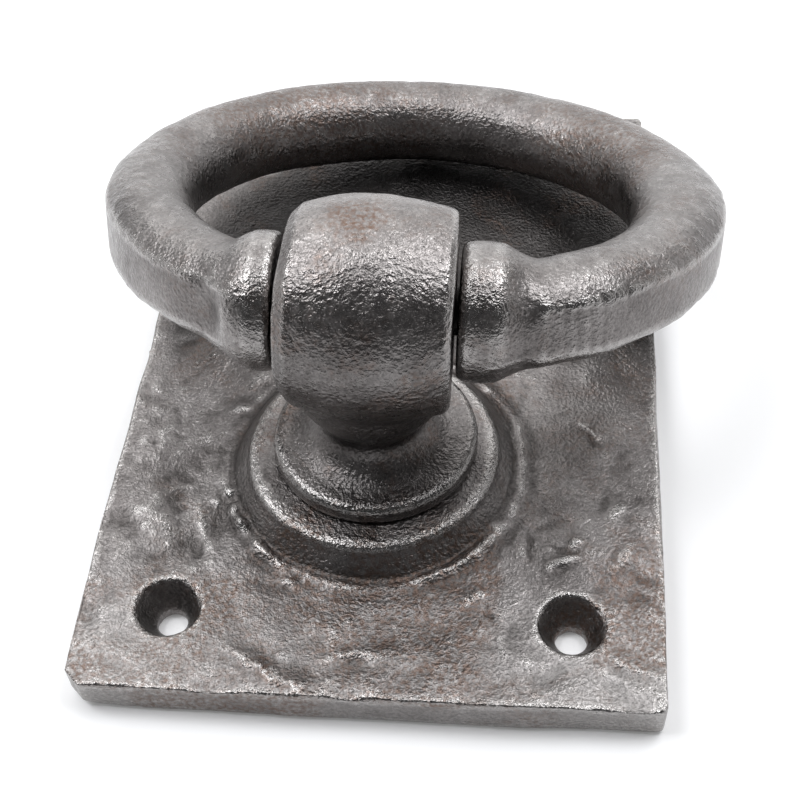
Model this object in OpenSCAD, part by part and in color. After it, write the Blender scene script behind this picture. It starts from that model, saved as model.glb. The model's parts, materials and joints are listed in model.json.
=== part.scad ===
// Ring door knocker: a cast back plate with a raised collar, a post that carries the
// hinge, and a swinging ring. +Z leaves the door, +Y is the end where the ring hangs.
// The origin is the centre of the back plate's rear face.

/* [Back plate] */
// Width of the back plate
plate_w = 101; // [96:1:104]
// Length of the back plate
plate_l = 150.6; // [144:0.2:156]
// Thickness of the back plate
plate_t = 7.5; // [7:0.5:8]
// How far each edge bows outwards at its middle
edge_bow = 0.5; // [0.3:0.1:1.2]
// Corner rounding of the back plate
corner_r = 1.2; // [1:0.1:4]
// Bevel round the rear edge of the back plate
rear_bevel = 0.5; // [0.4:0.1:1.2]

/* [Screw holes] */
// Distance between the screw holes across the plate
hole_pitch_x = 70; // [66:1:74]
// Distance between the screw holes along the plate
hole_pitch_y = 119; // [114:1:124]
// Diameter of a screw hole
hole_d = 5.4; // [5:0.1:6]
// Diameter of the countersink at the plate's face
countersink_d = 11.8; // [11:0.1:12.5]
// Depth of the countersink
countersink_h = 5.5; // [4.5:0.5:5.5]

/* [Collar] */
// Place of the post across the plate
post_x = -1; // [-2:0.5:2]
// Place of the post along the plate
post_y = -25.8; // [-28:0.2:-24]
// Diameter of the collar where it meets the plate
collar_base_d = 52.4; // [52:0.2:55]
// Diameter of the collar's rim
collar_rim_d = 46.6; // [46:0.2:48]
// Height of the collar above the plate
collar_h = 5.4; // [5:0.1:6]
// Distance that the collar lies off the post's axis, to the left and to the front
collar_shift = 0.6; // [0:0.1:0.8]

/* [Post] */
// Diameter of the post's foot
foot_d = 37.4; // [36:0.2:40]
// Height of the foot's rim above the collar
foot_h = 4.2; // [4:0.1:5]
// Diameter of the post at its narrowest
neck_d = 18.4; // [17:0.2:21]
// Height of the narrowest place above the collar
neck_h = 10.6; // [9.5:0.1:11.5]
// Height of the hinge axis above the plate's face
pivot_h = 41.7; // [41:0.1:43]
// Length of the post's head along the hinge axis
head_len = 28.4; // [27:0.2:30]
// Diameter of the head at its middle
head_d = 37.6; // [36:0.2:39]
// Diameter of the head at its ends
head_end_d = 33.6; // [32:0.2:35]
// Distance from the post's axis to the middle of its head, across the plate
head_offset = 0.8; // [0:0.2:1]
// Slope of the hinge axis, in degrees, left by fitting the knocker by hand
lean = 2.4; // [0:0.2:3]

/* [Ring] */
// Diameter of the ring along the middle of its bar
ring_d = 100; // [98:0.5:102]
// Diameter of the ring's round bar
bar_d = 17.4; // [16:0.2:18]
// Depth of the flat filed on the outside of the bar
bar_flat = 1.2; // [0.6:0.1:1.4]
// Distance from the hinge axis to the ring's centre
ring_drop = 44; // [43:0.5:45]
// Distance from the middle of the head to the ring's centre, across the plate
ring_offset = 4.2; // [3.4:0.2:5]
// Diameter of the bosses at the ring's two ends
boss_d = 23.6; // [22:0.2:24]
// Gap between the head and each boss
boss_gap = 1.4; // [1.2:0.1:1.6]
// Space left between the resting ring and the plate
rest_gap = 0.6; // [0.5:0.1:1.2]

/* [Fixings] */
// Diameter of the hinge pin
pin_d = 8; // [7:0.5:8]
// Radial clearance of the pin in the head's bore
pin_clearance = 0.08; // [0.04:0.01:0.1]
// Depth that the pin is pressed into each boss
pin_grip = 7; // [5:0.5:7]
// Thread diameter of the post bolt
bolt_d = 8; // [8:1:8]
// Length of the post bolt under its head
bolt_len = 20; // [16:1:22]
// Width of the bolt's hexagon across its flats
bolt_flats = 13; // [13:0.5:13]
// Diameter of the recess for the bolt head
recess_d = 20; // [19:0.5:21]

/* [Hidden] */
$fn = 96;

eps = 0.01;
iron = "#57524f";
steel = "#8a8784";

collar_top = plate_t + collar_h;
pivot_z = plate_t + pivot_h;
head_half = head_len / 2;
boss_x = head_half + boss_gap;
bar_r = bar_d / 2;
ring_r = ring_d / 2;
left_flat = 2;
left_taper = 4.6;
right_flat = 3.2;
right_taper = 8;
left_arm_start = 4;
right_arm_start = 9;
ring_tilt = asin((pivot_h - bar_r - rest_gap) / (ring_drop + ring_r));

washer_h = 2;
bolt_head_h = 5.3;
recess_h = washer_h + bolt_head_h + 0.7;
bolt_head_z = recess_h - washer_h - bolt_head_h;
spigot_d = 14;
spigot_h = 1.5;
bolt_hole_depth = 17;

// Places its children on the hinge: X along the axis, Y towards the hanging end.
module at_pivot() {
  translate([post_x + head_offset, post_y, pivot_z])
    rotate([0, lean, 0])
      children();
}

// Points of a shallow arc from a to b that bows to the right of its direction by bow.
function bowed(a, b, bow, steps = 12) = [
  for (i = [1 : steps - 1])
    let (t = i / steps, side = [b.y - a.y, a.x - b.x] / norm(b - a))
      a + (b - a) * t + side * bow * 4 * t * (1 - t)
];

// The plate's outline: four bowed edges between rounded corners.
function corner(x, y, from) = [
  for (i = [0 : 5])
    [x + corner_r * cos(from + 18 * i), y + corner_r * sin(from + 18 * i)]
];

function outline(w, l) =
  let (x = w / 2 - corner_r, y = l / 2 - corner_r, r = corner_r)
    concat(
      corner(x, y, 0),
      bowed([x, y + r], [-x, y + r], edge_bow),
      corner(-x, y, 90),
      bowed([-x - r, y], [-x - r, -y], edge_bow),
      corner(-x, -y, 180),
      bowed([-x, -y - r], [x, -y - r], edge_bow),
      corner(x, -y, 270),
      bowed([x + r, -y], [x + r, y], edge_bow)
    );

module countersunk_hole() {
  translate([0, 0, -1])
    cylinder(h = plate_t + 2, d = hole_d);
  translate([0, 0, plate_t - countersink_h])
    cylinder(h = countersink_h + eps, d1 = hole_d, d2 = countersink_d);
  translate([0, 0, plate_t])
    cylinder(h = 2, d = countersink_d);
}

// The raised collar: a sloping side, a rounded rim and a shallow dish at the top.
module collar() {
  base_r = collar_base_d / 2;
  rim_r = collar_rim_d / 2;
  round_r = 1.6;
  rotate_extrude()
    polygon(concat(
      [[0, plate_t - 1], [base_r, plate_t - 1], [base_r, plate_t + 0.3]],
      [[rim_r + 0.6, collar_top - round_r - 0.6]],
      [for (a = [0 : 15 : 90]) [rim_r - round_r * (1 - cos(a)), collar_top - round_r * (1 - sin(a))]],
      [[0, collar_top]]
    ));
}

module back_plate() {
  color(iron)
    difference() {
      union() {
        translate([0, 0, rear_bevel])
          linear_extrude(plate_t - rear_bevel)
            polygon(outline(plate_w, plate_l));
        linear_extrude(rear_bevel + eps)
          polygon(outline(plate_w - 2 * rear_bevel, plate_l - 2 * rear_bevel));
        translate([post_x - collar_shift, post_y - collar_shift, 0])
          collar();
      }
      for (x = [-1, 1], y = [-1, 1])
        translate([x * hole_pitch_x / 2, y * hole_pitch_y / 2, 0])
          countersunk_hole();
      translate([post_x, post_y, 0]) {
        translate([0, 0, -1])
          cylinder(h = recess_h + 1, d = recess_d);
        cylinder(h = collar_top + 1, d = bolt_d + 0.5);
        translate([0, 0, collar_top - spigot_h - 0.2])
          cylinder(h = spigot_h + 1, d = spigot_d + 0.2);
      }
    }
}

// The foot: a rounded disc that sweeps up in a hollow curve to the narrow neck.
module foot() {
  foot_r = foot_d / 2;
  neck_r = neck_d / 2;
  rim = 1.6;
  sweep_w = foot_r - rim - neck_r;
  sweep_h = neck_h - foot_h;
  rotate_extrude()
    polygon(concat(
      [[0, -spigot_h], [spigot_d / 2, -spigot_h], [spigot_d / 2, 0]],
      [[foot_r - 0.9, 0], [foot_r, 0.9]],
      [for (a = [0 : 15 : 90]) [foot_r - rim * (1 - cos(a)), foot_h - rim * (1 - sin(a))]],
      [for (a = [15 : 15 : 90]) [
        neck_r + sweep_w * (1 - sin(a)), foot_h + sweep_h * (1 - cos(a))
      ]],
      [[neck_r, neck_h + 1], [0, neck_h + 1]]
    ));
}

// The flare that carries the head: it widens from the neck and leans with the hinge.
module flare() {
  neck_r = neck_d / 2;
  low = neck_h + collar_h - pivot_h;
  wide_r = head_half - 0.3;
  wide_h = 7.6;
  steps = 8;
  rotate_extrude()
    polygon(concat(
      [[0, low - 1], [neck_r - 0.1, low - 1]],
      [for (i = [0 : steps])
        let (t = i / steps) [
          neck_r - 0.1 + (wide_r - neck_r + 0.1) * pow(t, 0.9), low + wide_h * t
        ]],
      [[wide_r, -12.6], [0, -12.6]]
    ));
}

// The head: a barrel along X that is fattest in the middle, with bevelled ends. The
// bevel is the larger on the side that the ring's short arm comes from.
module head_barrel() {
  end_r = head_end_d / 2;
  crown = (head_d - head_end_d) / 2;
  small_bevel = 1;
  large_bevel = 2;
  steps = 12;
  rotate([0, 90, 0])
    rotate_extrude()
      polygon(concat(
        [[0, -head_half], [end_r - large_bevel, -head_half]],
        [for (i = [-steps : steps])
          let (t = i / steps, bevel = t < 0 ? large_bevel : small_bevel)
            [end_r + crown * (1 - t * t), t * (head_half - bevel)]],
        [[end_r - small_bevel, head_half], [0, head_half]]
      ));
}

module knuckle_post() {
  color(iron)
    difference() {
      union() {
        translate([post_x, post_y, collar_top])
          foot();
        at_pivot() {
          flare();
          head_barrel();
        }
      }
      at_pivot()
        rotate([0, 90, 0])
          cylinder(h = head_len + 2, d = pin_d + 2 * pin_clearance, center = true);
      translate([post_x, post_y, collar_top - spigot_h - 1])
        cylinder(h = bolt_hole_depth + spigot_h + 1, d = bolt_d);
    }
}

// The ring's bar in cross-section, round with a flat filed on its outer side.
module bar_section() {
  intersection() {
    circle(d = bar_d);
    translate([-bar_r, -bar_r])
      square([bar_d - bar_flat, bar_d]);
  }
}

// A boss at one end of the ring, turned about X, that faces the head. It keeps its full
// width over flat_w and tapers down to the bar over taper_w.
module ring_boss(flat_w, taper_w) {
  boss_r = boss_d / 2;
  round_r = 1.5;
  rotate([0, 90, 0])
    rotate_extrude()
      polygon(concat(
        [[0, 0]],
        [for (a = [0 : 18 : 90]) [boss_r - round_r * (1 - sin(a)), round_r * (1 - cos(a))]],
        [for (i = [0 : 12])
          let (t = i / 12) [
            bar_r - 0.4 + (boss_r - bar_r + 0.4) * (1 + cos(180 * t)) / 2,
            round_r + flat_w + taper_w * t
          ]],
        [[0, round_r + flat_w + taper_w]]
      ));
}

// The bar runs round the ring's centre from one boss to the other, and is cut back
// so that neither rounded end comes through the face of its boss.
module ring_bar() {
  left_x = -boss_x - left_arm_start;
  right_x = boss_x + right_arm_start;
  left_a = atan2(-sqrt(pow(ring_r, 2) - pow(left_x - ring_offset, 2)), left_x - ring_offset);
  right_a = atan2(-sqrt(pow(ring_r, 2) - pow(right_x - ring_offset, 2)), right_x - ring_offset);
  difference() {
    translate([ring_offset, ring_drop, 0]) {
      rotate([0, 0, right_a])
        rotate_extrude(angle = 360 + left_a - right_a)
          translate([ring_r, 0])
            bar_section();
      for (a = [left_a, right_a])
        rotate([0, 0, a])
          translate([ring_r, 0, 0])
            sphere(d = bar_d - 2 * bar_flat);
    }
    rotate([0, 90, 0])
      cylinder(h = 2 * boss_x + 2, d = boss_d, center = true);
  }
}

module knocker_ring() {
  color(iron)
    at_pivot()
      rotate([-ring_tilt, 0, 0])
        difference() {
          union() {
            ring_bar();
            translate([boss_x, 0, 0])
              ring_boss(right_flat, right_taper);
            mirror([1, 0, 0])
              translate([boss_x, 0, 0])
                ring_boss(left_flat, left_taper);
          }
          rotate([0, 90, 0])
            cylinder(h = 2 * (boss_x + pin_grip + 0.3), d = pin_d, center = true);
        }
}

module hinge_pin() {
  half = boss_x + pin_grip;
  bevel = 0.6;
  color(steel)
    at_pivot()
      rotate([0, 90, 0])
        rotate_extrude()
          polygon([
            [0, -half], [pin_d / 2 - bevel, -half], [pin_d / 2, bevel - half],
            [pin_d / 2, half - bevel], [pin_d / 2 - bevel, half], [0, half]
          ]);
}

module post_bolt() {
  head_r = bolt_flats / 2 / cos(30);
  color(steel)
    translate([post_x, post_y, bolt_head_z]) {
      intersection() {
        cylinder(h = bolt_head_h, r = head_r, $fn = 6);
        cylinder(h = bolt_head_h + 4, r1 = head_r - 0.9, r2 = head_r + 6);
      }
      cylinder(h = bolt_head_h + bolt_len - 1, d = bolt_d);
      translate([0, 0, bolt_head_h + bolt_len - 1])
        cylinder(h = 1, d1 = bolt_d, d2 = bolt_d - 1.6);
    }
}

module spring_washer() {
  inner_d = bolt_d + 0.3;
  outer_d = 14.8;
  color(steel)
    translate([post_x, post_y, recess_h - washer_h])
      difference() {
        cylinder(h = washer_h, d = outer_d);
        translate([0, 0, -1])
          cylinder(h = washer_h + 2, d = inner_d);
        rotate([0, 0, 40])
          translate([0, -0.6, -1])
            cube([outer_d, 1.2, washer_h + 2]);
      }
}

back_plate();
knuckle_post();
knocker_ring();
hinge_pin();
post_bolt();
spring_washer();
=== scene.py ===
# Looks for the ring door knocker: cast iron pieces worked up from the CAD solids, a pale floor,
# soft studio light and the camera. Blender's lengths are metres. The shapes are worked in millimetres:
# p holds points in the shared frame and own holds them in the hinge's frame.
import json
import math

import bmesh
import bpy
import numpy as np
from mathutils import Matrix, Vector


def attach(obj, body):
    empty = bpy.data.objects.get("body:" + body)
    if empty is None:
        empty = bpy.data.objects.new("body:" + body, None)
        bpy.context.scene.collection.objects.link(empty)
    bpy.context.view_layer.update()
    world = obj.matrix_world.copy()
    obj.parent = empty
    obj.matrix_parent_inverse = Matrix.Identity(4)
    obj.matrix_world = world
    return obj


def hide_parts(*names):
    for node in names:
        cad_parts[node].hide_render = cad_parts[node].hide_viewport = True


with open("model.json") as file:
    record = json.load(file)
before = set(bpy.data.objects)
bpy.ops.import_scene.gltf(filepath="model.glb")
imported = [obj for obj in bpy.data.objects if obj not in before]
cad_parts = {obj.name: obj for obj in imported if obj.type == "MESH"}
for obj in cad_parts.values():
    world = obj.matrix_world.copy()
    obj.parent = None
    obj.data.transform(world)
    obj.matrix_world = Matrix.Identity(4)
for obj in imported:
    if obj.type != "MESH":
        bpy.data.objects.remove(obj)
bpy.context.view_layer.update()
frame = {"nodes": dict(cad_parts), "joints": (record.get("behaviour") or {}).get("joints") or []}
MM = 0.001

# Sizes that repeat the CAD's.
PLATE_TOP_MM = 7.5
PLATE_HALF_MM = (50.5, 75.3)
COLLAR_BASE_R_MM = 26.2
COLLAR_SHIFT_MM = 0.6
FOOT_BASE_MM = 12.9
HEAD_OFFSET_MM = 0.8
HEAD_HALF_MM = 14.2
BOSS_FACE_MM = 15.6
RING_DROP_MM = 44.0
RING_R_MM = 50.0
RING_OFFSET_MM = 4.2
BAR_R_MM = 8.7
REST_GAP_MM = 0.6

# The grain that each casting is worked at, and the most triangles that it keeps.
PLATE_VOXEL_MM = 0.5
POST_VOXEL_MM = 0.35
RING_VOXEL_MM = 0.45
PLATE_TRIANGLES = 198000
POST_TRIANGLES = 150000
RING_TRIANGLES = 190000

# Edges and hollows are found by smoothing. A point that it moves by EDGE_MM counts in full.
EDGE_ROUNDS = 12
EDGE_SHARE = 0.7
EDGE_MM = 0.12

hinge = frame["joints"][0]
PIVOT_MM = np.array(hinge["pos_m"]) / MM
POST_XY_MM = PIVOT_MM[:2] - np.array([HEAD_OFFSET_MM, 0.0])
COLLAR_XY_MM = POST_XY_MM - COLLAR_SHIFT_MM
AXIS = np.array(hinge["axis"])


# ---------------------------------------------------------------- noise

# Large odd numbers that scatter the noise's cells, and how much of the result is kept.
HASH_X = 374761393
HASH_Y = 668265263
HASH_Z = 2147483647
HASH_SEED = 1274126177
LOW_BITS = 0xFFFFFF

# Distance between one layer of noise and the next, so that their cells do not line up.
LAYER_SHIFT = 17.3


def lattice(cell, seed):
    """A random number from 0 to 1 for each whole-number cell, the same on each run."""
    cell = cell.astype(np.int64)
    mixed = cell[:, 0] * HASH_X + cell[:, 1] * HASH_Y + cell[:, 2] * HASH_Z + seed * HASH_SEED
    mixed = (mixed ^ (mixed >> 13)) * HASH_SEED
    mixed = mixed ^ (mixed >> 16)
    return (mixed & LOW_BITS) / LOW_BITS


def noise(points, size, seed):
    """Smooth noise from -1 to 1, whose lumps are about size across."""
    p = points / size
    base = np.floor(p)
    t = p - base
    t = t * t * t * (t * (t * 6 - 15) + 10)
    total = np.zeros(len(p))
    for dx in (0, 1):
        wx = t[:, 0] if dx else 1 - t[:, 0]
        for dy in (0, 1):
            wy = t[:, 1] if dy else 1 - t[:, 1]
            for dz in (0, 1):
                wz = t[:, 2] if dz else 1 - t[:, 2]
                total += wx * wy * wz * lattice(base + [dx, dy, dz], seed)
    return total * 2 - 1


def layered(points, size, octaves, seed):
    """Noise in several sizes, each half as large and half as strong as the one before."""
    total = np.zeros(len(points))
    weight = 1.0
    for k in range(octaves):
        total += weight * noise(points + LAYER_SHIFT * k, size / 2**k, seed + k)
        weight *= 0.5
    return total


def nearest(points, size, seed):
    """Distance to the nearest of a scatter of points, as a share of size. Each cell holds one."""
    p = points / size
    base = np.floor(p)
    least = np.full(len(p), 9.0)
    for dx in (-1, 0, 1):
        for dy in (-1, 0, 1):
            for dz in (-1, 0, 1):
                cell = base + [dx, dy, dz]
                place = cell + np.stack([lattice(cell, seed + k) for k in range(3)], 1)
                least = np.minimum(least, np.linalg.norm(p - place, axis=1))
    return least


def step(low, high, value):
    """0 at low and before it, 1 at high and beyond it, smooth between."""
    t = np.clip((value - low) / (high - low), 0, 1)
    return t * t * (3 - 2 * t)


def bell(value, middle, half):
    """1 at the middle, falling smoothly to about a third at a distance of half on either side."""
    return np.exp(-(((value - middle) / half) ** 2))


def spot(points, middle, half):
    """Bell in two directions, over the points' first two columns."""
    away = (points[:, :2] - middle) / half
    return np.exp(-(away**2).sum(1))


# ---------------------------------------------------------------- meshes


def coordinates(mesh):
    co = np.empty(len(mesh.vertices) * 3)
    mesh.vertices.foreach_get("co", co)
    return co.reshape(-1, 3)


def put_coordinates(mesh, co):
    mesh.vertices.foreach_set("co", np.ascontiguousarray(co).ravel())
    mesh.update()


def normals(mesh):
    n = np.empty(len(mesh.vertices) * 3)
    mesh.vertex_normals.foreach_get("vector", n)
    return n.reshape(-1, 3)


def dense_copy(node, name, voxel_mm):
    """A new piece with the CAD node's shape, remeshed finely so that its surface can be worked."""
    mesh = frame["nodes"][node].data.copy()
    mesh.materials.clear()
    work = bmesh.new()
    work.from_mesh(mesh)
    bmesh.ops.remove_doubles(work, verts=work.verts, dist=1e-7)
    work.to_mesh(mesh)
    work.free()
    piece = bpy.data.objects.new(name, mesh)
    bpy.context.scene.collection.objects.link(piece)
    remesh = piece.modifiers.new("dense", "REMESH")
    remesh.mode = "VOXEL"
    remesh.voxel_size = voxel_mm * MM
    remesh.use_smooth_shade = True
    apply_modifiers(piece)
    return piece


def apply_modifiers(piece):
    graph = bpy.context.evaluated_depsgraph_get()
    mesh = bpy.data.meshes.new_from_object(piece.evaluated_get(graph))
    piece.modifiers.clear()
    piece.data = mesh
    mesh.name = piece.name


def smoothed(mesh, co, rounds, share=0.5):
    """The points, each moved towards the mean of its neighbours, several times over.

    The share of the way that it moves is one number, or one for each point.
    """
    edges = np.empty(len(mesh.edges) * 2, np.int64)
    mesh.edges.foreach_get("vertices", edges)
    one, other = edges.reshape(-1, 2).T
    count = np.bincount(one, minlength=len(co)) + np.bincount(other, minlength=len(co))
    for _ in range(rounds):
        near = np.empty_like(co)
        for k in range(3):
            near[:, k] = np.bincount(one, co[other, k], len(co)) + np.bincount(other, co[one, k], len(co))
        co = co + np.reshape(share, (-1, 1)) * (near / count[:, None] - co)
    return co


def convexity(mesh, co):
    """How far each point stands out of its surroundings, from -1 (hollow) to 1 (edge)."""
    flat = smoothed(mesh, co, EDGE_ROUNDS, EDGE_SHARE)
    out = ((co - flat) * normals(mesh)).sum(1)
    return np.clip(out / (EDGE_MM * MM), -1, 1)


def put_attribute(mesh, name, values):
    layer = mesh.attributes.new(name, "FLOAT", "POINT")
    layer.data.foreach_set("value", values.astype(np.float32))


def thin_out(piece, most_triangles):
    """Merges faces where the surface is plain, so that the piece stays at a workable size."""
    mesh = piece.data
    mesh.calc_loop_triangles()
    if len(mesh.loop_triangles) > most_triangles:
        thin = piece.modifiers.new("thin", "DECIMATE")
        thin.ratio = most_triangles / len(mesh.loop_triangles)
        apply_modifiers(piece)
    for polygon in piece.data.polygons:
        polygon.use_smooth = True


# ---------------------------------------------------------------- back plate

# Lumps and hollows on the plate's face: x, y, half width, half length, turn in
# degrees, height.
PLATE_MARKS_MM = (
    (-29, -14.5, 1.6, 1.1, 20, 0.7),
    (-30, -36.5, 0.9, 0.8, 0, 0.45),
    (-14, -53, 2.2, 1.2, -12, 0.6),
    (18, -8.5, 1.6, 1.2, 30, 0.6),
    (27.5, -44, 0.8, 1.9, 15, -0.6),
    (36, -42, 1.3, 0.9, 20, 0.7),
    (33.5, -44, 2.6, 0.6, -12, -0.45),
    (33, -47, 2.6, 0.9, 25, 0.75),
    (18, -55, 2.0, 1.3, 40, 0.5),
    (21, -58, 1.0, 1.5, 0, -0.6),
    (38, -17, 2.8, 0.6, -42, 0.3),
    (39, -19, 1.8, 0.8, -50, -0.35),
    (43, -35, 3.2, 1.2, 62, 0.5),
    (44, -45, 3.2, 1.2, 55, 0.45),
    (-1, -70, 4.2, 1.8, 8, -0.6),
    (-2, -67.5, 4.4, 0.8, 10, 0.4),
    (-17, -70.5, 9.5, 1.0, -30, 0.4),
    (-15, -68.5, 8.0, 1.5, -30, -0.35),
    (-38, -49, 5.5, 3.6, 35, -0.6),
    (-41, -40, 4.2, 3.0, -30, 0.5),
    (-36, -30, 4.0, 6.0, 10, -0.5),
    (-43, -22, 3.2, 5.0, 0, 0.45),
    (30, -70, 5.0, 2.0, 12, -0.45),
    (9, -62, 6.0, 3.0, -20, -0.4),
)

# Lumps on the lip round the collar: direction from the collar's middle and half width, both in
# degrees, and height in millimetres.
LIP_LUMPS = (
    (-147, 4.2, 1.15),
    (-154.5, 2.6, 0.8),
    (-163, 2.2, 0.75),
    (-103, 9, 0.3),
    (62, 14, 0.35),
)

# Length of the slanting ripples at the front right corner.
RIPPLE_MM = 5.4

# The collar's noise is looked up on a circle of this radius, so that it has no seam.
COLLAR_NOISE_R_MM = 20


def marks(p, table):
    """The lumps and hollows of a table, added up."""
    total = np.zeros(len(p))
    for x, y, wide, tall, turn, height in table:
        cos = math.cos(math.radians(turn))
        sin = math.sin(math.radians(turn))
        across = (p[:, 0] - x) * cos + (p[:, 1] - y) * sin
        along = (p[:, 1] - y) * cos - (p[:, 0] - x) * sin
        total += height * np.exp(-((across / wide) ** 2) - (along / tall) ** 2)
    return total


def plate_height(p):
    """The hammered surface of the plate's face: its height above the flat, in millimetres.

    It is lively at the front and on the left, and calm under the ring and to the right of the post.
    """
    flat = p * [1, 1, 0]
    warp = np.stack([noise(flat, 9, 3), noise(flat, 9, 4), np.zeros(len(p))], 1)
    bent = flat + 2.5 * warp
    calm_part = spot(p, (33, -24), (9, 15))
    lively = (1 - 0.75 * step(8, 24, p[:, 1])) * (1 - 0.8 * calm_part)
    left_side = 1 + 0.5 * step(-18, -32, p[:, 0])

    # Broad waves, hammer dents, ripples and a fine grain.
    height = 0.46 * layered(flat, 14, 2, 11)
    dents = bell(nearest(bent * [1, 0.8, 0], 8.5, 21), 0, 0.42) * step(-0.8, 0.1, noise(flat, 17, 12))
    height -= lively * left_side * 0.42 * dents
    height += lively * left_side * (0.13 * layered(bent, 6.5, 2, 41) + 0.07 * noise(bent, 2.6, 43))
    height += (0.3 + 0.7 * lively) * (0.035 * noise(flat, 1.5, 51) + 0.02 * noise(flat, 0.9, 52))

    # The listed marks, with ragged edges.
    ragged = 0.7 * layered(flat, 2.2, 2, 13)
    height += marks(flat + ragged[:, None] * [1, 1, 0], PLATE_MARKS_MM)

    # A slanting ripple at the front right corner.
    right_corner = step(38, 43, p[:, 0]) * step(-44, -50, p[:, 1])
    slanted = (p[:, 0] + p[:, 1]) * 0.707 + 3.4 * noise(flat, 8, 53)
    height += 0.10 * right_corner * np.sin(slanted * 2 * math.pi / RIPPLE_MM)
    return height


def plate_lip(p, r, angle):
    """The uneven lip of iron that runs round the foot of the collar, and its fillet on the right."""
    flat = p * [1, 1, 0]
    way = np.degrees(angle)
    lip = 0.18 + 0.75 * step(-74, -60, way) * step(-24, -36, way)
    lip += 0.6 * step(-140, -133, way) * step(-112, -120, way)
    for at, half, more in LIP_LUMPS:
        lip += more * bell(way, at, half)
    lip *= 1 + 0.4 * layered(flat, 3.0, 2, 61)
    wander = COLLAR_BASE_R_MM + 1.5 + 0.5 * noise(flat, 4.0, 62)
    crest = bell(r, wander, 1.2)
    fillet = 0.55 * step(-50, -20, way) * step(75, 40, way) * bell(r, COLLAR_BASE_R_MM + 0.6, 2.2)
    return 1.25 * np.maximum(lip, 0) * crest + fillet


def plate_outline(p):
    """How far each point of the plate moves sideways, so that its edges run as hand-cut ones do.

    The rear edge stands out, and the front left corner is worn back.
    """
    half_x, half_y = PLATE_HALF_MM
    y = p[:, 1] / half_y
    left = 0.15 + 0.85 * step(-0.75, 0.0, y) + 0.25 * noise(p * [0, 1, 0], 11, 5)
    right = 0.30 - 0.15 * y + 0.2 * noise(p * [0, 1, 0], 12, 6)
    move_x = left * step(-0.35, -1.0, p[:, 0] / half_x) + right * step(0.35, 1.0, p[:, 0] / half_x)
    back = 1.1 + 0.2 * noise(p * [1, 0, 0], 12, 7)
    front = 0.15 * noise(p * [1, 0, 0], 12, 8)
    move_y = back * step(0.55, 1.0, y) + front * step(-0.55, -1.0, y)
    worn_corner = 0.5 * np.maximum(-p[:, 0] - p[:, 1] - (half_x + half_y - 2.6), 0)
    return np.stack([move_x + worn_corner, move_y + worn_corner, np.zeros(len(p))], 1)


def make_plate():
    """The back plate: hammered face, lip, collar and hand-cut edges."""
    piece = dense_copy("back_plate", "plate_casting", PLATE_VOXEL_MM)
    mesh = piece.data
    co = smoothed(mesh, coordinates(mesh), 2)
    p = co / MM
    put_coordinates(mesh, co)
    n = normals(mesh)
    from_collar = p[:, :2] - COLLAR_XY_MM
    r = np.hypot(from_collar[:, 0], from_collar[:, 1])
    angle = np.arctan2(from_collar[:, 1], from_collar[:, 0])
    round_collar = np.stack([np.cos(angle), np.sin(angle), np.zeros(len(p))], 1) * COLLAR_NOISE_R_MM

    # The face, up to the collar and the screw holes' edges.
    face = step(0.4, 0.8, n[:, 2]) * step(PLATE_TOP_MM - 1.5, PLATE_TOP_MM - 0.6, p[:, 2])
    outside = step(COLLAR_BASE_R_MM - 0.4, COLLAR_BASE_R_MM + 1.2, r)
    lift = (plate_height(p) * outside + plate_lip(p, r, angle)) * face

    # The collar and the plate's sides, with the rear face left nearly flat.
    wall = step(PLATE_TOP_MM + 0.5, PLATE_TOP_MM + 2, p[:, 2]) * step(20, 21, r)
    body = 0.09 * layered(p, 9, 2, 71) + 0.025 * noise(p, 1.4, 72)
    body += 0.10 * layered(round_collar, 9, 2, 73) * wall
    the_rest = (1 - face * outside) * step(-0.5, 1.0, p[:, 2])
    move = lift[:, None] * [0, 0, 1] + (body * the_rest)[:, None] * n
    rim = step(PLATE_TOP_MM + 1, PLATE_TOP_MM + 3, p[:, 2]) * step(18.5, 20.5, r)
    move[:, 2] += 0.16 * rim * layered(round_collar, 6, 2, 74) + 0.03 * rim * noise(p, 1.1, 75)

    # The front left corner's lower edge is worn up.
    nick = spot(p, (-49.5, -74.5), (2.6, 2.6))
    move[:, 2] += 1.6 * nick * step(3.5, 0.5, p[:, 2])

    co = co + (move + plate_outline(p)) * MM
    put_coordinates(mesh, co)
    put_attribute(mesh, "raised", convexity(mesh, co))

    # The front is rustier. The face carries painted shade under the ring's place of rest and beside the
    # post, and it is lighter along its front edge, most towards the corners.
    put_attribute(mesh, "tint", step(-0.2, 0.5, noise(p, 15, 76)) * step(-30, -52, p[:, 1]))
    under_ring = step(58, 48, np.hypot(p[:, 0] - 4, p[:, 1] - 18)) * step(-4, 8, p[:, 1])
    beside_post = 0.4 * spot(p, (35, -22), (9, 16))
    flat_part = step(PLATE_TOP_MM + 3, PLATE_TOP_MM + 1, p[:, 2])
    put_attribute(mesh, "painted_shade", np.maximum(under_ring, beside_post) * flat_part)
    to_corners = 0.3 + 0.7 * step(16, 42, np.abs(p[:, 0]))
    put_attribute(mesh, "front_brightening", step(-50, -71, p[:, 1]) * to_corners)
    thin_out(piece, PLATE_TRIANGLES)
    return piece


# ---------------------------------------------------------------- hinge frame

# How far from the pin's axis the castings are left alone, and from where they are fully worked.
PIN_CLEAR_MM = (4.3, 5.2)


def hinge_turn(tilt):
    """The matrix that rows of points are multiplied by to turn them into the hinge's frame.

    X runs along the hinge's axis, and Y points to the rear, tipped down by tilt radians.
    """
    lean = math.atan2(-AXIS[2], AXIS[0])
    return np.array(Matrix.Rotation(lean, 3, "Y") @ Matrix.Rotation(-tilt, 3, "X"))


def clear_of_pin(own):
    """0 on the walls of the pin's hole, which stay round, and 1 away from them."""
    return step(*PIN_CLEAR_MM, np.hypot(own[:, 1], own[:, 2]))


# ---------------------------------------------------------------- post


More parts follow.
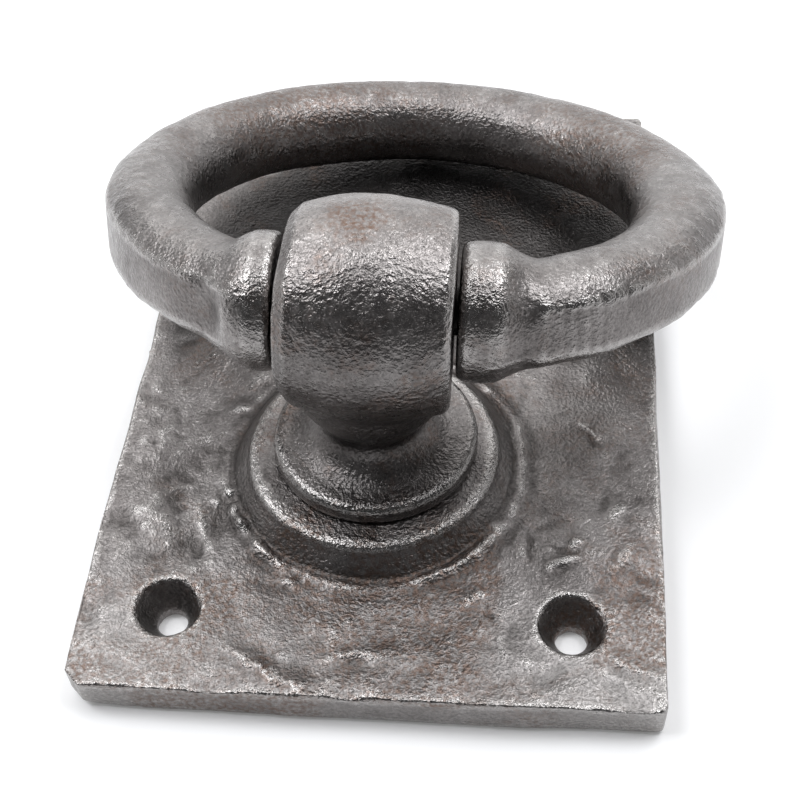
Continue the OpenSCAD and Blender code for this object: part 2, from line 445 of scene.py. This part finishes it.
def make_post():
    """The post: its foot, neck and flare, and the head that holds the hinge."""
    piece = dense_copy("knuckle_post", "post_casting", POST_VOXEL_MM)
    mesh = piece.data
    turn = hinge_turn(0)
    co = smoothed(mesh, coordinates(mesh), 3)

    # The flare under the head runs into the head and the neck without a crease.
    own = (co / MM - PIVOT_MM) @ turn
    flare = step(-29, -25, own[:, 2]) * step(-10.5, -13.5, own[:, 2])
    co = smoothed(mesh, co, 90, 0.5 * flare)
    put_coordinates(mesh, co)
    p = co / MM
    n = normals(mesh)
    own = (p - PIVOT_MM) @ turn
    to_end = np.abs(own[:, 0])
    head = step(-17, -12, own[:, 2])
    bore = clear_of_pin(own)
    above_collar = step(FOOT_BASE_MM + 0.3, FOOT_BASE_MM + 1.3, p[:, 2])

    # Lumps and casting peel, held back on the head's ends, where the ring's bosses pass.
    lump = 0.20 * layered(p, 16, 2, 81) + 0.08 * layered(p, 6, 2, 82)
    peel = 0.045 * layered(p, 1.5, 2, 83)
    amount = (lump * (0.5 + 0.5 * head) + peel * (0.45 + 0.85 * head)) * bore * above_collar
    amount *= 1 - 0.6 * head * step(HEAD_HALF_MM - 0.6, HEAD_HALF_MM - 0.2, to_end)

    # The head's upper rear is a little flatter, and its ends are not quite square.
    up_and_back = own[:, 1] * 0.77 + own[:, 2] * 0.64
    amount -= 0.3 * head * bore * step(0, 14, up_and_back)
    to_back = step(-8, 12, up_and_back)
    skew = 0.5 * to_back * step(-HEAD_HALF_MM + 9, -HEAD_HALF_MM, own[:, 0])
    skew += 0.2 * to_back * step(HEAD_HALF_MM - 5, HEAD_HALF_MM, own[:, 0])
    skew += 0.12 * noise(p, 7, 84) * step(11, 14, to_end)
    shift = (skew * head * bore)[:, None] * turn[:, 0]

    co = co + (amount[:, None] * n + shift) * MM
    put_coordinates(mesh, co)
    put_attribute(mesh, "raised", convexity(mesh, co))

    # A rusty patch on top of the head, and shade below it and on the neck.
    put_attribute(mesh, "tint", spot(own, (-3, 2), (6, 5)) * step(8, 14, own[:, 2]))
    below = step(9, -6, own[:, 2] + 0.5 * own[:, 1])
    neck = step(-12, -16, own[:, 2]) * step(-29, -25, own[:, 2])
    put_attribute(mesh, "painted_shade", 0.5 * below + 0.2 * neck)
    thin_out(piece, POST_TRIANGLES)
    return piece


# ---------------------------------------------------------------- ring

# Distance from one file mark to the next on the ring's flat.
FILE_PITCH_MM = 2.1


def shape_necks(mesh, co, turn):
    """The points, with a wider left boss and smooth necks where both bosses run into the bar."""
    own = (co / MM - PIVOT_MM) @ turn
    from_axis = np.hypot(own[:, 1], own[:, 2])
    wanted = BAR_R_MM + 2.6 * step(-24.8, -20.2, own[:, 0])
    fuller = np.clip(wanted - from_axis, 0, 3) * step(-17.2, -18, own[:, 0]) * step(6.0, 7.5, from_axis)
    fuller *= step(-28, -25, own[:, 0]) * step(14, 9, own[:, 1])
    outwards = own * [0, 1, 1] / np.maximum(from_axis, 1)[:, None]
    co = co + (outwards * fuller[:, None]) @ turn.T * MM
    own = (co / MM - PIVOT_MM) @ turn
    necks = step(21.5, 24, own[:, 0]) * step(29.5, 26.5, own[:, 0])
    necks += step(-19, -21, own[:, 0]) * step(-30, -26, own[:, 0])
    return smoothed(mesh, co, 40, 0.5 * necks * step(14, 8, own[:, 1]))


def ring_texture(p, own, r, angle):
    """Lumps, peel, the filed flat with its file marks and the flat's rough edges, in millimetres."""
    beyond = r - RING_R_MM
    side = np.abs(own[:, 2] + 0.5 * noise(p, 6, 95))
    clear_of_boss = step(-1.30, -1.20, angle - 0.008 * own[:, 2]) + step(-1.95, -2.1, angle)
    clear_of_boss = np.clip(clear_of_boss, 0, 1)
    filed = step(6.7, 7.1, beyond) * step(5.4, 4.4, side) * clear_of_boss
    lump = 0.22 * layered(p, 15, 2, 91) + 0.10 * layered(p, 5.5, 2, 92)
    peel = 0.045 * layered(p, 1.6, 2, 93)
    file_marks = 0.05 * np.sin(angle * RING_R_MM * 2 * math.pi / FILE_PITCH_MM + 1.5 * noise(p, 9, 94))
    amount = (lump + peel) * (1 - 0.7 * filed) + file_marks * filed * bell(angle, -1.02, 0.14)

    # The flat's rough edges, and smoother faces where the bosses meet the head.
    edge = bell(side, 4.8, 0.8) * step(5.5, 6.5, beyond) * clear_of_boss
    amount += edge * (0.10 + 0.14 * layered(p, 3.2, 2, 97))
    on_boss_face = step(BOSS_FACE_MM + 0.6, BOSS_FACE_MM + 0.2, np.abs(own[:, 0]))
    return amount * (1 - 0.75 * on_boss_face * step(12, 11, np.hypot(own[:, 1], own[:, 2])))


def ring_bend(own, from_centre, r, angle):
    """How the ring strays from a true circle, in its own frame, and how its bosses close on the head."""
    outer = step(-4, 6, r - RING_R_MM) * step(4, 14, own[:, 1])
    swell = 1.1 * bell(angle, -0.05, 0.55) - 0.7 * bell(angle, 2.5, 0.6)
    swell -= 0.5 * bell(angle, 1.6, 0.7)
    radial = np.stack([from_centre[:, 0] / r, from_centre[:, 1] / r, np.zeros(len(r))], 1)
    bend = radial * (swell * outer)[:, None]
    right_shoulder = bell(own[:, 0], 29, 8) * step(16, 10, own[:, 1])
    bend[:, 1] += right_shoulder
    near_boss = step(13, 9, own[:, 1])
    bend[:, 0] += 0.75 * near_boss * step(21, BOSS_FACE_MM, -own[:, 0]) * (own[:, 0] < 0)
    bend[:, 0] -= 0.8 * near_boss * step(20, BOSS_FACE_MM, own[:, 0]) * (own[:, 0] > 0)
    return bend


def make_ring():
    """The ring with its two bosses, worked in the hinge's frame as it lies at rest."""
    piece = dense_copy("knocker_ring", "ring_casting", RING_VOXEL_MM)
    mesh = piece.data

    # At rest the ring's far side lies just above the plate.
    drop = PIVOT_MM[2] - PLATE_TOP_MM - BAR_R_MM - REST_GAP_MM
    turn = hinge_turn(math.asin(drop / (RING_DROP_MM + RING_R_MM)))
    co = shape_necks(mesh, smoothed(mesh, coordinates(mesh), 5), turn)
    put_coordinates(mesh, co)
    p = co / MM
    n = normals(mesh)
    own = (p - PIVOT_MM) @ turn
    from_centre = own[:, :2] - [RING_OFFSET_MM, RING_DROP_MM]
    r = np.hypot(from_centre[:, 0], from_centre[:, 1])
    angle = np.arctan2(from_centre[:, 1], from_centre[:, 0])

    # Beyond the bosses the pin's hole has ended, and the bar is free to stray.
    clear = np.maximum(clear_of_pin(own), step(23.5, 25, np.abs(own[:, 0])))
    amount = ring_texture(p, own, r, angle) * clear
    bend = ring_bend(own, from_centre, r, angle) * clear[:, None]
    co = co + (amount[:, None] * n + bend @ turn.T) * MM
    put_coordinates(mesh, co)
    put_attribute(mesh, "raised", convexity(mesh, co))
    put_attribute(mesh, "tint", bell(angle, 2.2, 0.5) + bell(angle, 0.6, 0.35))
    thin_out(piece, RING_TRIANGLES)
    return piece


# ---------------------------------------------------------------- materials


class Tree:
    """A short way to build a material's node tree."""

    def __init__(self, name):
        self.material = bpy.data.materials.new(name)
        self.material.use_nodes = True
        self.nodes = self.material.node_tree.nodes
        self.links = self.material.node_tree.links
        self.shader = self.nodes["Principled BSDF"]

    def set(self, socket, value):
        if isinstance(value, bpy.types.NodeSocket):
            self.links.new(value, socket)
        else:
            socket.default_value = value

    def point(self, stretch=(1, 1, 1)):
        mapping = self.nodes.new("ShaderNodeMapping")
        mapping.inputs["Scale"].default_value = stretch
        coordinate = self.nodes.new("ShaderNodeTexCoord")
        self.links.new(coordinate.outputs["Object"], mapping.inputs["Vector"])
        return mapping.outputs["Vector"]

    def noise(self, size_mm, detail=3.0, rough=0.55, stretch=(1, 1, 1), distortion=0.0):
        node = self.nodes.new("ShaderNodeTexNoise")
        self.set(node.inputs["Vector"], self.point(stretch))
        node.inputs["Scale"].default_value = 1 / (size_mm * MM)
        node.inputs["Detail"].default_value = detail
        node.inputs["Roughness"].default_value = rough
        node.inputs["Distortion"].default_value = distortion
        return node.outputs["Fac"]

    def voronoi(self, size_mm):
        node = self.nodes.new("ShaderNodeTexVoronoi")
        self.set(node.inputs["Vector"], self.point())
        node.inputs["Scale"].default_value = 1 / (size_mm * MM)
        return node.outputs["Distance"]

    def attribute(self, name):
        node = self.nodes.new("ShaderNodeAttribute")
        node.attribute_name = name
        return node.outputs["Fac"]

    def math(self, how, a, b=0.0, clamp=False):
        node = self.nodes.new("ShaderNodeMath")
        node.operation = how
        node.use_clamp = clamp
        self.set(node.inputs[0], a)
        self.set(node.inputs[1], b)
        return node.outputs[0]

    def ramp(self, value, low, high, to_low=0.0, to_high=1.0):
        node = self.nodes.new("ShaderNodeMapRange")
        node.clamp = True
        self.set(node.inputs["Value"], value)
        node.inputs["From Min"].default_value = low
        node.inputs["From Max"].default_value = high
        node.inputs["To Min"].default_value = to_low
        node.inputs["To Max"].default_value = to_high
        return node.outputs["Result"]

    def mix(self, share, a, b, how="MIX"):
        node = self.nodes.new("ShaderNodeMix")
        node.data_type = "RGBA"
        node.blend_type = how
        self.set(node.inputs["Factor"], share)
        self.set(node.inputs["A"], a)
        self.set(node.inputs["B"], b)
        return node.outputs["Result"]

    def bump(self, height, distance_mm, strength, under=None):
        node = self.nodes.new("ShaderNodeBump")
        node.inputs["Strength"].default_value = strength
        node.inputs["Distance"].default_value = distance_mm * MM
        self.set(node.inputs["Height"], height)
        if under is not None:
            self.links.new(under, node.inputs["Normal"])
        return node.outputs["Normal"]


def iron(name, tone, peel, grain, rust, rough):
    """Waxed cast iron, with tone for its brightness, rust for how much of it shows, and roughness.

    Peel and grain are the strengths of its coarse and fine casting texture.
    """
    t = Tree(name)

    def shade(r, g, b):
        return (r * tone, g * tone, b * tone, 1)

    # Cloudy grey, bright on edges and towards the plate's front, dark in hollows.
    raised = t.attribute("raised")
    coarse_noise = t.noise(0.66, 2.0, 0.5)
    fine_noise = t.noise(0.3, 2, 0.5)
    cloud = t.ramp(t.noise(9, 5, 0.6), 0.35, 0.68)
    colour = t.mix(cloud, shade(0.172, 0.159, 0.155), shade(0.280, 0.264, 0.258))
    edges = t.ramp(raised, 0.25, 1.0, 0, 0.7)
    colour = t.mix(edges, colour, shade(0.42, 0.405, 0.395))
    hollows = t.ramp(raised, -0.1, -0.8, 0, 0.75)
    colour = t.mix(hollows, colour, shade(0.075, 0.068, 0.065))
    front_brightening = t.ramp(t.attribute("front_brightening"), 0, 1, 0, 0.55)
    colour = t.mix(front_brightening, colour, shade(0.40, 0.385, 0.375))

    # Grain, then the painted shade.
    coarse_grain = t.ramp(coarse_noise, 0.32, 0.68, 0.82, 1.18)
    fine_grain = t.ramp(fine_noise, 0.3, 0.7, 0.82, 1.18)
    colour = t.mix(1.0, colour, t.math("MULTIPLY", coarse_grain, fine_grain), "MULTIPLY")
    painted_shade = t.ramp(t.attribute("painted_shade"), 0, 1, 1, 0.32)
    colour = t.mix(1.0, colour, painted_shade, "MULTIPLY")

    # Specks of rust, in patches that the piece's own tint helps to place.
    tint = t.math("MULTIPLY", t.attribute("tint"), 0.34)
    patchy_noise = t.noise(14, 6, 0.65, distortion=0.6)
    patches = t.ramp(t.math("ADD", patchy_noise, tint), 0.52, 0.74)
    specks = t.ramp(t.noise(0.9, 3, 0.6), 0.40, 0.62)
    rusty = t.math("MULTIPLY", t.math("MULTIPLY", patches, specks), rust)
    colour = t.mix(rusty, colour, shade(0.150, 0.100, 0.078))
    t.set(t.shader.inputs["Base Color"], colour)
    t.shader.inputs["Metallic"].default_value = 1.0

    # Edges are polished, hollows are dull.
    polish = t.ramp(raised, -0.5, 0.8, 0.14, -0.08)
    base_rough = t.ramp(t.noise(2.4, 4, 0.6), 0.3, 0.7, rough - 0.06, rough + 0.08)
    t.set(t.shader.inputs["Roughness"], t.math("ADD", base_rough, polish, clamp=True))

    # Casting texture and a scatter of pits.
    coarse = t.bump(coarse_noise, 0.3, peel)
    fine = t.bump(fine_noise, 0.12, grain, coarse)
    pits = t.ramp(t.voronoi(2.6), 0.06, 0.16)
    t.set(t.shader.inputs["Normal"], t.bump(pits, 0.12, 0.35, fine))
    return t.material


def steel(name, colour, rough):
    """Plain steel, cloudy and with faint lines along X. The colour is red, green and blue."""
    t = Tree(name)
    lines = t.noise(1.2, 3, 0.6, stretch=(0.15, 1, 1))
    darker = [0.6 * c for c in colour]
    cloud = t.ramp(t.noise(4, 4, 0.6), 0.3, 0.7)
    t.set(t.shader.inputs["Base Color"], t.mix(cloud, (*colour, 1), (*darker, 1)))
    t.shader.inputs["Metallic"].default_value = 1.0
    t.set(t.shader.inputs["Roughness"], t.ramp(lines, 0.3, 0.7, rough - 0.08, rough + 0.1))
    t.set(t.shader.inputs["Normal"], t.bump(t.noise(0.5, 2, 0.5), 0.1, 0.25))
    return t.material


# ---------------------------------------------------------------- stage

# The floor and the lights, in metres.
FLOOR_HALF = 4.0
FLOOR_DROP = 0.0002
PAPER_WHITE = (0.86, 0.86, 0.865, 1)
FLOOR_GLOW = 0.14
WORLD_COLOUR = (0.97, 0.98, 1, 1)
WORLD_STRENGTH = 0.13
COOL = (0.97, 0.98, 1)
KNOCKER_MIDDLE = Vector((0, -0.01, 0.035))

# The camera as worked out from the plate's edges and the ring, its place in metres and its
# turns in degrees.
SENSOR_MM = 36.0
LENS_MM = 64.935
CAMERA_PLACE = Vector((0.0254, -0.1899, 0.22105))
CAMERA_YAW_PITCH_ROLL = (-7.48, 49.77, 3.85)


def make_floor():
    """White paper under the knocker, with a little light of its own."""
    mesh = bpy.data.meshes.new("floor")
    corners = [(FLOOR_HALF * x, FLOOR_HALF * y, 0) for x, y in ((-1, -1), (1, -1), (1, 1), (-1, 1))]
    mesh.from_pydata(corners, [], [(0, 1, 2, 3)])
    floor = bpy.data.objects.new("floor", mesh)
    floor.location.z = -FLOOR_DROP
    bpy.context.scene.collection.objects.link(floor)
    t = Tree("floor_paper")
    t.set(t.shader.inputs["Base Color"], PAPER_WHITE)
    t.shader.inputs["Roughness"].default_value = 0.7
    t.shader.inputs["Emission Color"].default_value = (1, 1, 1, 1)
    t.shader.inputs["Emission Strength"].default_value = FLOOR_GLOW
    mesh.materials.append(t.material)


def soft_light(name, azimuth, elevation, distance, size, radiance, colour=(1, 1, 1)):
    """A rectangular soft light that faces the knocker.

    Azimuth and elevation are in degrees, with azimuth 0 on the camera's side and 90 on +X.
    Distance and size are in metres. Radiance sets the brightness whatever the size.
    """
    a = math.radians(azimuth)
    e = math.radians(elevation)
    way = Vector((math.sin(a) * math.cos(e), -math.cos(a) * math.cos(e), math.sin(e)))
    lamp = bpy.data.lights.new(name, "AREA")
    lamp.shape = "RECTANGLE"
    lamp.size, lamp.size_y = size
    lamp.energy = radiance * math.pi * size[0] * size[1]
    lamp.color = colour
    obj = bpy.data.objects.new(name, lamp)
    obj.location = KNOCKER_MIDDLE + way * distance
    obj.rotation_euler = way.to_track_quat("Z", "Y").to_euler()
    bpy.context.scene.collection.objects.link(obj)


def make_light():
    """A dim world, broad lights behind and above, and a strong light on each side."""
    world = bpy.data.worlds.new("studio")
    world.use_nodes = True
    world.node_tree.nodes["Background"].inputs["Color"].default_value = WORLD_COLOUR
    world.node_tree.nodes["Background"].inputs["Strength"].default_value = WORLD_STRENGTH
    bpy.context.scene.world = world
    soft_light("above", 180, 78, 0.9, (0.5, 0.34), 1.05)
    soft_light("behind_high", 180, 55, 0.95, (1.1, 0.3), 1.35)
    soft_light("behind", 180, 24, 1.1, (1.9, 0.85), 1.6)
    soft_light("behind_left", -140, 50, 0.9, (0.5, 0.5), 1.2)
    soft_light("left", -92, 58, 0.9, (0.42, 0.5), 7.4, COOL)
    soft_light("left_low", -100, 18, 1.0, (0.8, 0.5), 1.0)
    soft_light("right", 115, 60, 0.9, (0.45, 0.45), 6.6, COOL)
    soft_light("right_low", 105, 18, 1.0, (0.8, 0.5), 0.8)


def make_camera():
    """The photograph's camera: it looks along +Y and down, turned a little left and rolled."""
    yaw, pitch, roll = (math.radians(a) for a in CAMERA_YAW_PITCH_ROLL)
    data = bpy.data.cameras.new("camera")
    data.sensor_width = SENSOR_MM
    data.lens = LENS_MM
    data.clip_start = 0.01
    data.clip_end = 10.0
    forward = Vector((math.sin(yaw) * math.cos(pitch), math.cos(yaw) * math.cos(pitch), -math.sin(pitch)))
    level = Vector((math.cos(yaw), -math.sin(yaw), 0))
    down = forward.cross(level)
    right = math.cos(roll) * level + math.sin(roll) * down
    up = -(math.cos(roll) * down - math.sin(roll) * level)
    turn = Matrix((right, up, -forward)).transposed()
    camera = bpy.data.objects.new("camera", data)
    camera.matrix_world = Matrix.Translation(CAMERA_PLACE) @ turn.to_4x4()
    bpy.context.scene.collection.objects.link(camera)
    bpy.context.scene.camera = camera


# ---------------------------------------------------------------- build

make_camera()
make_floor()
make_light()
bpy.context.scene.view_settings.view_transform = "Standard"

plate = make_plate()
plate.data.materials.append(iron("plate_iron", 0.83, 0.9, 0.85, 0.8, 0.29))
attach(plate, "plate")
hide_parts("back_plate")

post = make_post()
post.data.materials.append(iron("post_iron", 1.0, 0.75, 0.65, 1.0, 0.235))
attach(post, "plate")
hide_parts("knuckle_post")

ring = make_ring()
ring.data.materials.append(iron("ring_iron", 0.86, 0.75, 0.65, 0.7, 0.27))
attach(ring, "ring")
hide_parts("knocker_ring")

# The pin, the bolt and the washer keep their CAD shapes.
for node, material in (
    ("hinge_pin", steel("pin_steel", (0.05, 0.047, 0.045), 0.5)),
    ("post_bolt", steel("bolt_steel", (0.55, 0.54, 0.52), 0.32)),
    ("spring_washer", steel("washer_steel", (0.3, 0.29, 0.28), 0.4)),
):
    frame["nodes"][node].data.materials.clear()
    frame["nodes"][node].data.materials.append(material)
